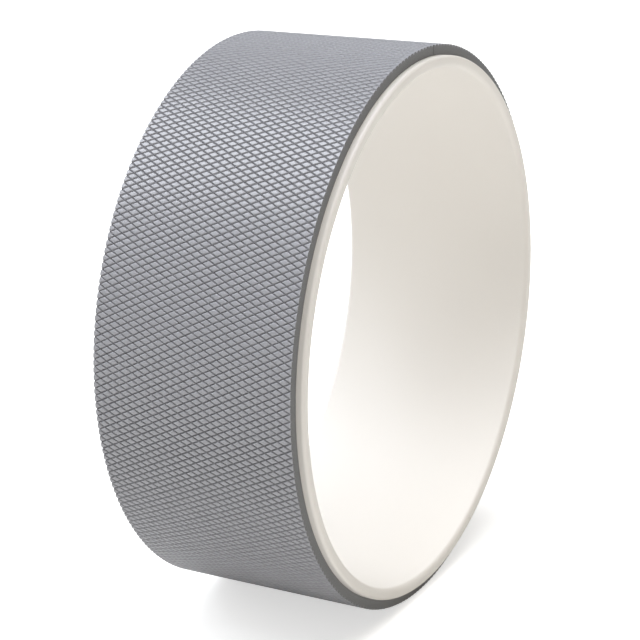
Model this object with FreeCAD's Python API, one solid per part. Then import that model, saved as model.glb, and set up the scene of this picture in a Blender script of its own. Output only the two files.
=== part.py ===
"""Yoga wheel: a moulded plastic ring with a wrapped foam tread.

Millimetres. The origin is the wheel's centre, the wheel's axis lies along Y, and Z is up.
"""
import FreeCAD, Part
import math
import os

# Overall size and core
wheel_diameter = 330.0
core_width = 129.0
core_wall = 7.0
rim_inner_round = 3.0
rim_outer_round = 2.0

# Tread strip
tread_width = 120.0
tread_thickness = 6.0
seam_gap = 0.4
seam_angle_deg = 87.75

# Bonding film between the core and the strip
film_thickness = 0.2
film_setback = 1.0

# Radii that follow from the sizes above
tread_radius = wheel_diameter / 2
film_radius = tread_radius - tread_thickness
core_radius = film_radius - film_thickness
bore_radius = core_radius - core_wall

# Each quarter round is drawn as this many arcs in a row, so that no face of it bends far
arcs_per_round = 2

full_turn_deg = 360.0
quarter_turn_deg = 90.0
wheel_centre = FreeCAD.Vector(0, 0, 0)
wheel_axis = FreeCAD.Vector(0, 1, 0)


def point(radius, along):
    """A point of the section plane: radius from the axis and place along it."""
    return FreeCAD.Vector(radius, along, 0)


def corner(radius, along, round_radius, radial_sign, axial_sign):
    """Points along a quarter round whose sharp corner would be at radius, along.

    They run from the cylinder to the flat face: an arc's start, its middle, its end, and so on.
    """
    steps = 2 * arcs_per_round
    points = []
    for step in range(steps + 1):
        turn = math.radians(quarter_turn_deg) * step / steps
        inward = round_radius * (1 - math.cos(turn))
        short_of_face = round_radius * (1 - math.sin(turn))
        points.append(point(radius - radial_sign * inward, along - axial_sign * short_of_face))
    return points


def arcs(points):
    """The edges of a quarter round, each through three of its points."""
    edges = []
    for first in range(0, len(points) - 1, 2):
        start, middle, end = points[first:first + 3]
        edges.append(Part.Arc(start, middle, end).toShape())
    return edges


def line(start, end):
    return Part.LineSegment(start, end).toShape()


def core_section():
    """The ring's wall cut through: flat bore, flat outside and a lip with two unlike rounds at each rim."""
    half = core_width / 2
    edges = []
    inner = {}
    outer = {}
    for side in (-1, 1):
        inner[side] = corner(bore_radius, side * half, rim_inner_round, -1, side)
        outer[side] = corner(core_radius, side * half, rim_outer_round, 1, side)
        edges += arcs(inner[side])
        edges += arcs(outer[side])
        edges.append(line(inner[side][-1], outer[side][-1]))
    edges.append(line(inner[-1][0], inner[1][0]))
    edges.append(line(outer[-1][0], outer[1][0]))
    return Part.Face(Part.Wire(Part.__sortEdges__(edges)))


def band_section(inner_radius, outer_radius, width):
    """The flat section of a strip that lies round the wheel."""
    half = width / 2
    corners = [
        point(inner_radius, -half),
        point(outer_radius, -half),
        point(outer_radius, half),
        point(inner_radius, half),
    ]
    return Part.Face(Part.makePolygon(corners + corners[:1]))


def turned_from_seam(section, gap_deg):
    """The section carried once round the wheel, from one side of a gap at the seam to the other.

    A turn about +Y carries +X towards -Z, so the seam, measured from +X towards +Z, is a negative turn.
    """
    ring = section.revolve(wheel_centre, wheel_axis, full_turn_deg - gap_deg)
    ring.rotate(wheel_centre, wheel_axis, gap_deg / 2 - seam_angle_deg)
    return ring


def core_ring():
    return turned_from_seam(core_section(), 0)


def wrapped(section):
    """A strip bent once round the wheel, with its two ends apart by the seam's gap."""
    return turned_from_seam(section, math.degrees(seam_gap / tread_radius))


def tread_strip():
    return wrapped(band_section(film_radius, tread_radius, tread_width))


def bonding_film():
    return wrapped(band_section(core_radius, film_radius, tread_width - 2 * film_setback))


def main():
    os.makedirs("parts", exist_ok=True)
    pieces = {
        "core_ring": core_ring(),
        "tread_strip": tread_strip(),
        "bonding_film": bonding_film(),
    }
    for name, shape in pieces.items():
        shape.exportStep("parts/" + name + ".step")
        print(name, "valid", shape.isValid(), "solids", len(shape.Solids), "volume", round(shape.Volume))


main()
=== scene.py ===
"""Looks of a yoga wheel: a satin plastic core, a knurled foam tread and a white studio round them.

Metres, in the part's own frame: the wheel's axis lies along Y, and Z is up.
The tread is drawn on the unrolled strip first: along it, across it, and depth below its top.
"""

import math

import bpy
import numpy as np
from mathutils import Matrix, Vector


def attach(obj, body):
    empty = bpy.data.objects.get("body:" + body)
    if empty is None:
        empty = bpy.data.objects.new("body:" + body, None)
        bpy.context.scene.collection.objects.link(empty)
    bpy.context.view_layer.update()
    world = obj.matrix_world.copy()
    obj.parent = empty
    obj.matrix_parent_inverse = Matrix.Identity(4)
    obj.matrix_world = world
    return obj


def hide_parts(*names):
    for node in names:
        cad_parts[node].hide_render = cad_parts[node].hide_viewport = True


MM = 0.001

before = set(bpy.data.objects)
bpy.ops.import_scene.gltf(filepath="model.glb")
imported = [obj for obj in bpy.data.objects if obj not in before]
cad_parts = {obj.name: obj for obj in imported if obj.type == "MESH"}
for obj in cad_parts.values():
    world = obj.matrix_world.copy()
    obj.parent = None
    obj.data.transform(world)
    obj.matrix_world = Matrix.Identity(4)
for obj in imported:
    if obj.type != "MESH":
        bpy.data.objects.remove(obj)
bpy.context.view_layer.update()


def ring_size(node):
    """Inner radius, outer radius and half width of a ring-shaped node."""
    places = np.array([vertex.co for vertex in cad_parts[node].data.vertices])
    radii = np.hypot(places[:, 0], places[:, 2])
    return radii.min(), radii.max(), np.abs(places[:, 1]).max()


# Sizes from the frame
bore_radius, core_radius, core_half_width = ring_size("core_ring")
tread_inner_radius, tread_radius, tread_half_width = ring_size("tread_strip")
tread_thickness = tread_radius - tread_inner_radius

# Rounds of the core's rims
rim_inner_round = 3.0 * MM
rim_outer_round = 2.0 * MM
round_steps = 10
core_turn_steps = 720
quarter_turn = math.pi / 2

# Seam of the tread
seam_angle = math.radians(87.75)
seam_gap = 0.4 * MM
strip_length = 2 * math.pi * tread_radius - seam_gap

# Knurl of the tread: diamonds between two families of slanting grooves
knurl_pitch_along = 4.08 * MM
knurl_pitch_across = 7.94 * MM
groove_width = 0.95 * MM
groove_depth = 1.15 * MM
shoulder_width = 0.3 * MM
shoulder_drop = 0.12 * MM
weld_distance = 0.001 * MM

# Material slots of the tread: its moulded top, its cut edges and its two glued ends, which are painted
# dark as shade in the narrow seam
skin_slot = 0
cut_slot = 1
seam_shade_slot = 2

# Core plastic: broad unevenness of the colour and a fine mould grain
core_colours = (0.8, 0.761, 0.706), (0.815, 0.776, 0.721)
core_roughness = 0.48, 0.56
core_ior = 1.5
core_uneven_waves_per_m = 9
core_grain_waves_per_m = 1800
core_grain_strength = 0.06
core_grain_height = 0.02 * MM

# Tread skin: a fine grain
skin_colours = (0.315, 0.311, 0.326), (0.354, 0.35, 0.365)
skin_roughness = 0.3, 0.36
skin_ior = 1.6
skin_grain_waves_per_m = 2600
skin_grain_strength = 0.25
skin_grain_height = 0.05 * MM

# Cut foam: open cells
foam_greys = 0.14, 0.235
foam_roughness = 0.9
foam_cell_waves_per_m = 3400
foam_cell_strength = 0.6
foam_cell_height = 0.12 * MM

# Glue on the film, also painted on the strip's two ends as shade in the narrow seam: a faint mottle
glue_and_seam_shade_greys = 0.03, 0.05
glue_roughness = 0.5
glue_mottle_waves_per_m = 300

# Shares of the noise between which a material goes from its first value to its second
ramp_shares = 0.3, 0.7

# Camera, as fitted to the photograph
photo_pixels = 640
camera_focal_pixels = 1909.76
camera_azimuth = math.radians(-62.555)
camera_elevation = math.radians(16.428)
camera_distance = 1139.66 * MM
camera_aim_right = 7.614 * MM
camera_aim_up = 2.549 * MM
camera_sensor = 36 * MM

# Studio
floor_half_size = 12.0
floor_colour = (0.77, 0.755, 0.725)
floor_lift = 0.6
ambient_strength = 0.02
white = (1, 1, 1, 1)

# Lamps: name, azimuth from +X towards +Y and elevation in degrees, strength and colour
sun_angle = math.radians(40)
warm_light = (1.05, 1, 0.91)
cool_light = (0.94, 0.985, 1.06)
suns = (
    ("key", 108, 58, 0.59, cool_light),
    ("left_back", 110, 28, 0.36, cool_light),
    ("top", 0, 90, 0.57, cool_light),
    ("front_top", 290, 72, 0.19, warm_light),
    ("front_left", 236, 12, 0.235, warm_light),
    ("right", 350, 30, 0.06, warm_light),
)


def add_object(name, data):
    added = bpy.data.objects.new(name, data)
    bpy.context.scene.collection.objects.link(added)
    return added


def even_normals(piece, is_smooth):
    """Smooth shading in which the large flat faces stay flat and only the narrow ones look round."""
    piece.data.polygons.foreach_set("use_smooth", is_smooth)
    evened = piece.modifiers.new("even normals", "WEIGHTED_NORMAL")
    evened.keep_sharp = True


# Core

def core_profile():
    """The ring's section as a closed line of (radius, along the axis), two unlike rounds at each rim."""
    corners = [
        (bore_radius, core_half_width, rim_inner_round, -1, 1),
        (core_radius, core_half_width, rim_outer_round, 1, 1),
        (core_radius, -core_half_width, rim_outer_round, 1, -1),
        (bore_radius, -core_half_width, rim_inner_round, -1, -1),
    ]
    profile = []
    for radius, along, size, radial_sign, axial_sign in corners:
        points = []
        for step in range(round_steps + 1):
            turn = quarter_turn * step / round_steps
            inward = size * (1 - math.cos(turn))
            short_of_face = size * (1 - math.sin(turn))
            points.append((radius - radial_sign * inward, along - axial_sign * short_of_face))
        towards_face = radial_sign != axial_sign
        profile += points if towards_face else points[::-1]
    return np.array(profile)


def make_core():
    profile = core_profile()
    count = len(profile)
    turns = np.linspace(0, 2 * math.pi, core_turn_steps, endpoint=False)
    places = np.empty((core_turn_steps, count, 3))
    places[:, :, 0] = np.cos(turns)[:, None] * profile[:, 0]
    places[:, :, 1] = profile[:, 1]
    places[:, :, 2] = np.sin(turns)[:, None] * profile[:, 0]
    faces = []
    for step in range(core_turn_steps):
        here = step * count
        there = (step + 1) % core_turn_steps * count
        for index in range(count):
            after = (index + 1) % count
            faces.append((there + index, there + after, here + after, here + index))
    mesh = bpy.data.meshes.new("core")
    mesh.from_pydata(places.reshape(-1, 3).tolist(), [], faces)
    core = add_object("core", mesh)
    even_normals(core, [True] * len(faces))
    return core


# Tread

class Strip:
    """Points and faces of the unrolled strip. Points that coincide are welded."""

    def __init__(self):
        self.points = []
        self.index = {}
        self.faces = []
        self.slots = []
        self.is_smooth = []

    def point(self, place):
        key = tuple(round(value / weld_distance) for value in place)
        if key not in self.index:
            self.index[key] = len(self.points)
            self.points.append(place)
        return self.index[key]

    def face(self, places, slot=skin_slot, is_smooth=False):
        corners = []
        for place in places:
            corner = self.point(place)
            if corner not in corners:
                corners.append(corner)
        if len(corners) > 2:
            self.faces.append(corners)
            self.slots.append(slot)
            self.is_smooth.append(is_smooth)


def diamond_faces(along, across):
    """One diamond's top, shoulders and sides down to the middle of its grooves."""
    side_length_twice = math.hypot(knurl_pitch_along, knurl_pitch_across)
    inradius = knurl_pitch_along * knurl_pitch_across / 2 / side_length_twice
    edge_share = 1 - groove_width / 2 / inradius
    top_share = edge_share - shoulder_width / inradius
    rings = []
    for share, depth in ((1, groove_depth), (edge_share, shoulder_drop), (top_share, 0)):
        half_along = share * knurl_pitch_along / 2
        half_across = share * knurl_pitch_across / 2
        rings.append([
            (along + half_along, across, depth),
            (along, across - half_across, depth),
            (along - half_along, across, depth),
            (along, across + half_across, depth),
        ])
    faces = [rings[-1]]
    for low, high in zip(rings, rings[1:]):
        for corner in range(len(low)):
            after = (corner + 1) % len(low)
            faces.append([low[corner], low[after], high[after], high[corner]])
    return faces


def clip(face, axis, limit, side):
    """The part of a flat face where side * (place[axis] - limit) is at most zero."""
    kept = []
    for start, end in zip(face, face[1:] + face[:1]):
        start_past = side * (start[axis] - limit)
        end_past = side * (end[axis] - limit)
        if start_past <= 0:
            kept.append(start)
        if start_past * end_past < 0:
            share = start_past / (start_past - end_past)
            crossing = [a + (b - a) * share for a, b in zip(start, end)]
            crossing[axis] = limit
            kept.append(tuple(crossing))
    return kept


def cut_to_strip(face):
    """A face of the endless knurl, cut at the strip's two ends and two edges."""
    for axis, limit, side in (
        (0, 0, -1),
        (0, strip_length, 1),
        (1, -tread_half_width, -1),
        (1, tread_half_width, 1),
    ):
        if any(side * (place[axis] - limit) > 0 for place in face):
            face = clip(face, axis, limit, side)
    return face


def lay_knurl(strip):
    """The knurl's diamonds over the whole strip, every second place of a grid of half pitches."""
    rows = math.ceil(2 * tread_half_width / knurl_pitch_across) + 1
    columns = math.ceil(2 * strip_length / knurl_pitch_along) + 1
    for row in range(-rows, rows + 1):
        for column in range(-1, columns + 1):
            if (row + column) % 2:
                for face in diamond_faces(column * knurl_pitch_along / 2, row * knurl_pitch_across / 2):
                    strip.face(cut_to_strip(face), is_smooth=True)


def points_on_cut(points, axis, limit):
    """The knurl's points on one of the strip's four cuts, in order along it."""
    found = points[np.abs(points[:, axis] - limit) < weld_distance]
    return found[np.argsort(found[:, 1 - axis])]


def close_edge(strip, profile, side):
    """The cut wall under a long edge, one face for each stretch of the knurl's profile there."""
    for start, end in zip(profile[:-1], profile[1:]):
        wall = [
            tuple(start),
            tuple(end),
            (end[0], end[1], tread_thickness),
            (start[0], start[1], tread_thickness),
        ]
        strip.face(wall if side < 0 else wall[::-1], slot=cut_slot)


def close_bottom(strip, places_along):
    """The smooth face that lies on the wheel, one stretch after another."""
    for start, end in zip(places_along[:-1], places_along[1:]):
        strip.face([
            (end, -tread_half_width, tread_thickness),
            (end, tread_half_width, tread_thickness),
            (start, tread_half_width, tread_thickness),
            (start, -tread_half_width, tread_thickness),
        ])


def close_end(strip, profile, end, side):
    """The glued wall at one end of the strip, painted dark as shade in the narrow seam."""
    wall = [tuple(place) for place in profile]
    wall += [(end, tread_half_width, tread_thickness), (end, -tread_half_width, tread_thickness)]
    strip.face(wall if side > 0 else wall[::-1], slot=seam_shade_slot)


def close_strip(strip):
    """The faces that make the knurl's sheet a closed solid."""
    points = np.array(strip.points)
    for side in (-1, 1):
        profile = points_on_cut(points, 1, side * tread_half_width)
        close_edge(strip, profile, side)
    # The knurl is the same along both edges, so either one gives the bottom's stretches
    close_bottom(strip, profile[:, 0])
    for end, side in ((0, -1), (strip_length, 1)):
        close_end(strip, points_on_cut(points, 0, end), end, side)


def crease_grooves(mesh, depths):
    """Marks the lines at the bottom of the grooves and the diamonds' corners as sharp."""
    ends = np.empty(2 * len(mesh.edges), int)
    mesh.edges.foreach_get("vertices", ends)
    end_depths = depths[ends].reshape(-1, 2)
    is_bottom = (np.abs(end_depths - groove_depth) < weld_distance).all(1)
    is_corner = np.abs(end_depths[:, 0] - end_depths[:, 1]) > weld_distance
    mesh.edges.foreach_set("use_edge_sharp", is_bottom | is_corner)


def make_tread():
    strip = Strip()
    lay_knurl(strip)
    close_strip(strip)
    flat = np.array(strip.points)
    turn = seam_angle + (seam_gap / 2 + flat[:, 0]) / tread_radius
    radius = tread_radius - flat[:, 2]
    places = np.stack([radius * np.cos(turn), flat[:, 1], radius * np.sin(turn)], 1)
    mesh = bpy.data.meshes.new("tread")
    mesh.from_pydata(places.tolist(), [], strip.faces)
    mesh.polygons.foreach_set("material_index", strip.slots)
    crease_grooves(mesh, flat[:, 2])
    tread = add_object("tread", mesh)
    even_normals(tread, strip.is_smooth)
    return tread


# Materials

def new_material(name):
    material = bpy.data.materials.new(name)
    material.use_nodes = True
    return material, material.node_tree.nodes, material.node_tree.links


def noise(nodes, links, waves_per_m, detail):
    """Noise in the piece's own coordinates."""
    coordinates = nodes.new("ShaderNodeTexCoord")
    texture = nodes.new("ShaderNodeTexNoise")
    texture.inputs["Scale"].default_value = waves_per_m
    texture.inputs["Detail"].default_value = detail
    links.new(coordinates.outputs["Object"], texture.inputs["Vector"])
    return texture.outputs["Fac"]


def ramp(nodes, links, value, colours):
    """A colour that follows value from the first of two colours to the second."""
    node = nodes.new("ShaderNodeValToRGB")
    for element, share, colour in zip(node.color_ramp.elements, ramp_shares, colours):
        element.position = share
        element.color = (*colour, 1)
    links.new(value, node.inputs["Fac"])
    return node.outputs["Color"]


def grey_ramp(nodes, links, value, greys):
    return ramp(nodes, links, value, [(grey, grey, grey) for grey in greys])


def bump(nodes, links, height, strength, distance):
    node = nodes.new("ShaderNodeBump")
    node.inputs["Strength"].default_value = strength
    node.inputs["Distance"].default_value = distance
    links.new(height, node.inputs["Height"])
    return node.outputs["Normal"]


def core_plastic():
    """Ivory moulded plastic: satin, with a very fine mould grain and faint broad unevenness."""
    material, nodes, links = new_material("core_plastic")
    shader = nodes["Principled BSDF"]
    shader.inputs["IOR"].default_value = core_ior
    uneven = noise(nodes, links, core_uneven_waves_per_m, detail=2)
    grain = noise(nodes, links, core_grain_waves_per_m, detail=3)
    normal = bump(nodes, links, grain, core_grain_strength, core_grain_height)
    links.new(ramp(nodes, links, uneven, core_colours), shader.inputs["Base Color"])
    links.new(grey_ramp(nodes, links, grain, core_roughness), shader.inputs["Roughness"])
    links.new(normal, shader.inputs["Normal"])
    return material


def tread_skin():
    """Moulded skin of grey foamed rubber: satin, with a fine grain."""
    material, nodes, links = new_material("tread_skin")
    shader = nodes["Principled BSDF"]
    shader.inputs["IOR"].default_value = skin_ior
    grain = noise(nodes, links, skin_grain_waves_per_m, detail=4)
    normal = bump(nodes, links, grain, skin_grain_strength, skin_grain_height)
    links.new(ramp(nodes, links, grain, skin_colours), shader.inputs["Base Color"])
    links.new(grey_ramp(nodes, links, grain, skin_roughness), shader.inputs["Roughness"])
    links.new(normal, shader.inputs["Normal"])
    return material


def tread_cut():
    """Cut foam: darker than the skin, with open cells."""
    material, nodes, links = new_material("tread_cut")
    shader = nodes["Principled BSDF"]
    shader.inputs["Roughness"].default_value = foam_roughness
    cells = noise(nodes, links, foam_cell_waves_per_m, detail=2)
    normal = bump(nodes, links, cells, foam_cell_strength, foam_cell_height)
    links.new(grey_ramp(nodes, links, cells, foam_greys), shader.inputs["Base Color"])
    links.new(normal, shader.inputs["Normal"])
    return material


def film_glue_and_seam_shade():
    """Dark glue on the film; on the strip's two ends the same dark grey is painted shade in the narrow
    seam.
    """
    material, nodes, links = new_material("film_glue_and_seam_shade")
    shader = nodes["Principled BSDF"]
    shader.inputs["Roughness"].default_value = glue_roughness
    mottle = noise(nodes, links, glue_mottle_waves_per_m, detail=3)
    links.new(grey_ramp(nodes, links, mottle, glue_and_seam_shade_greys), shader.inputs["Base Color"])
    return material


def seen_by_camera(nodes):
    """One for what the camera sees directly, and zero for the rest of the light."""
    return nodes.new("ShaderNodeLightPath").outputs["Is Camera Ray"]


def floor_white():
    """A pale matt floor that shows as white in the light and keeps the wheel's shadow."""
    material, nodes, links = new_material("floor_white")
    nodes.remove(nodes["Principled BSDF"])
    matt = nodes.new("ShaderNodeBsdfDiffuse")
    matt.inputs["Color"].default_value = (*floor_colour, 1)
    lift = nodes.new("ShaderNodeEmission")
    lift.inputs["Color"].default_value = white
    share = nodes.new("ShaderNodeMath")
    share.operation = "MULTIPLY"
    share.inputs[1].default_value = floor_lift
    links.new(seen_by_camera(nodes), share.inputs[0])
    links.new(share.outputs["Value"], lift.inputs["Strength"])
    both = nodes.new("ShaderNodeAddShader")
    links.new(matt.outputs["BSDF"], both.inputs[0])
    links.new(lift.outputs["Emission"], both.inputs[1])
    links.new(both.outputs["Shader"], nodes["Material Output"].inputs["Surface"])
    return material


# Studio

def make_floor():
    low = -tread_radius
    half = floor_half_size
    corners = [(-half, -half, low), (half, -half, low), (half, half, low), (-half, half, low)]
    mesh = bpy.data.meshes.new("floor")
    mesh.from_pydata(corners, [], [(0, 1, 2, 3)])
    mesh.materials.append(floor_white())
    floor = add_object("floor", mesh)


def make_world():
    """White where the camera sees it, and a faint even light on the rest."""
    world = bpy.data.worlds.new("studio")
    world.use_nodes = True
    nodes = world.node_tree.nodes
    links = world.node_tree.links
    background = nodes["Background"]
    background.inputs["Color"].default_value = white
    strength = nodes.new("ShaderNodeMapRange")
    strength.inputs["To Min"].default_value = ambient_strength
    strength.inputs["To Max"].default_value = 1
    links.new(seen_by_camera(nodes), strength.inputs["Value"])
    links.new(strength.outputs["Result"], background.inputs["Strength"])
    bpy.context.scene.world = world


def add_sun(name, azimuth_deg, elevation_deg, strength, colour):
    """A broad distant light. At a strength of one, a white surface that faces it renders white."""
    azimuth = math.radians(azimuth_deg)
    elevation = math.radians(elevation_deg)
    flat = math.cos(elevation)
    source = Vector((math.cos(azimuth) * flat, math.sin(azimuth) * flat, math.sin(elevation)))
    light = bpy.data.lights.new(name, "SUN")
    light.angle = sun_angle
    light.energy = strength * math.pi
    light.color = colour
    lamp = add_object(name, light)
    lamp.rotation_mode = "QUATERNION"
    lamp.rotation_quaternion = (-source).to_track_quat("-Z", "Y")


def make_camera():
    flat = math.cos(camera_elevation)
    back = Vector((
        math.sin(camera_azimuth) * flat,
        -math.cos(camera_azimuth) * flat,
        math.sin(camera_elevation),
    ))
    right = Vector((math.cos(camera_azimuth), math.sin(camera_azimuth), 0))
    up = back.cross(right)
    data = bpy.data.cameras.new("camera")
    data.sensor_width = camera_sensor / MM
    data.lens = camera_sensor / MM * camera_focal_pixels / photo_pixels
    camera = add_object("camera", data)
    place = back * camera_distance - right * camera_aim_right - up * camera_aim_up
    camera.matrix_world = Matrix.Translation(place) @ Matrix((right, up, back)).transposed().to_4x4()
    bpy.context.scene.camera = camera


# The wheel
# Dark glue for the film, and painted shade for the narrow seam between the strip's ends
glue_and_seam_shade_material = film_glue_and_seam_shade()

core = make_core()
core.data.materials.append(core_plastic())
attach(core, "root")
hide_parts("core_ring")

tread = make_tread()
tread.data.materials.append(tread_skin())
tread.data.materials.append(tread_cut())
# The strip's ends get the dark glue grey as painted shade in the seam
tread.data.materials.append(glue_and_seam_shade_material)
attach(tread, "root")
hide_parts("tread_strip")

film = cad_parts["bonding_film"]
film.data.materials.clear()
film.data.materials.append(glue_and_seam_shade_material)

# The studio round it
make_floor()
make_world()
for sun in suns:
    add_sun(*sun)
make_camera()
bpy.context.scene.view_settings.view_transform = "Standard"
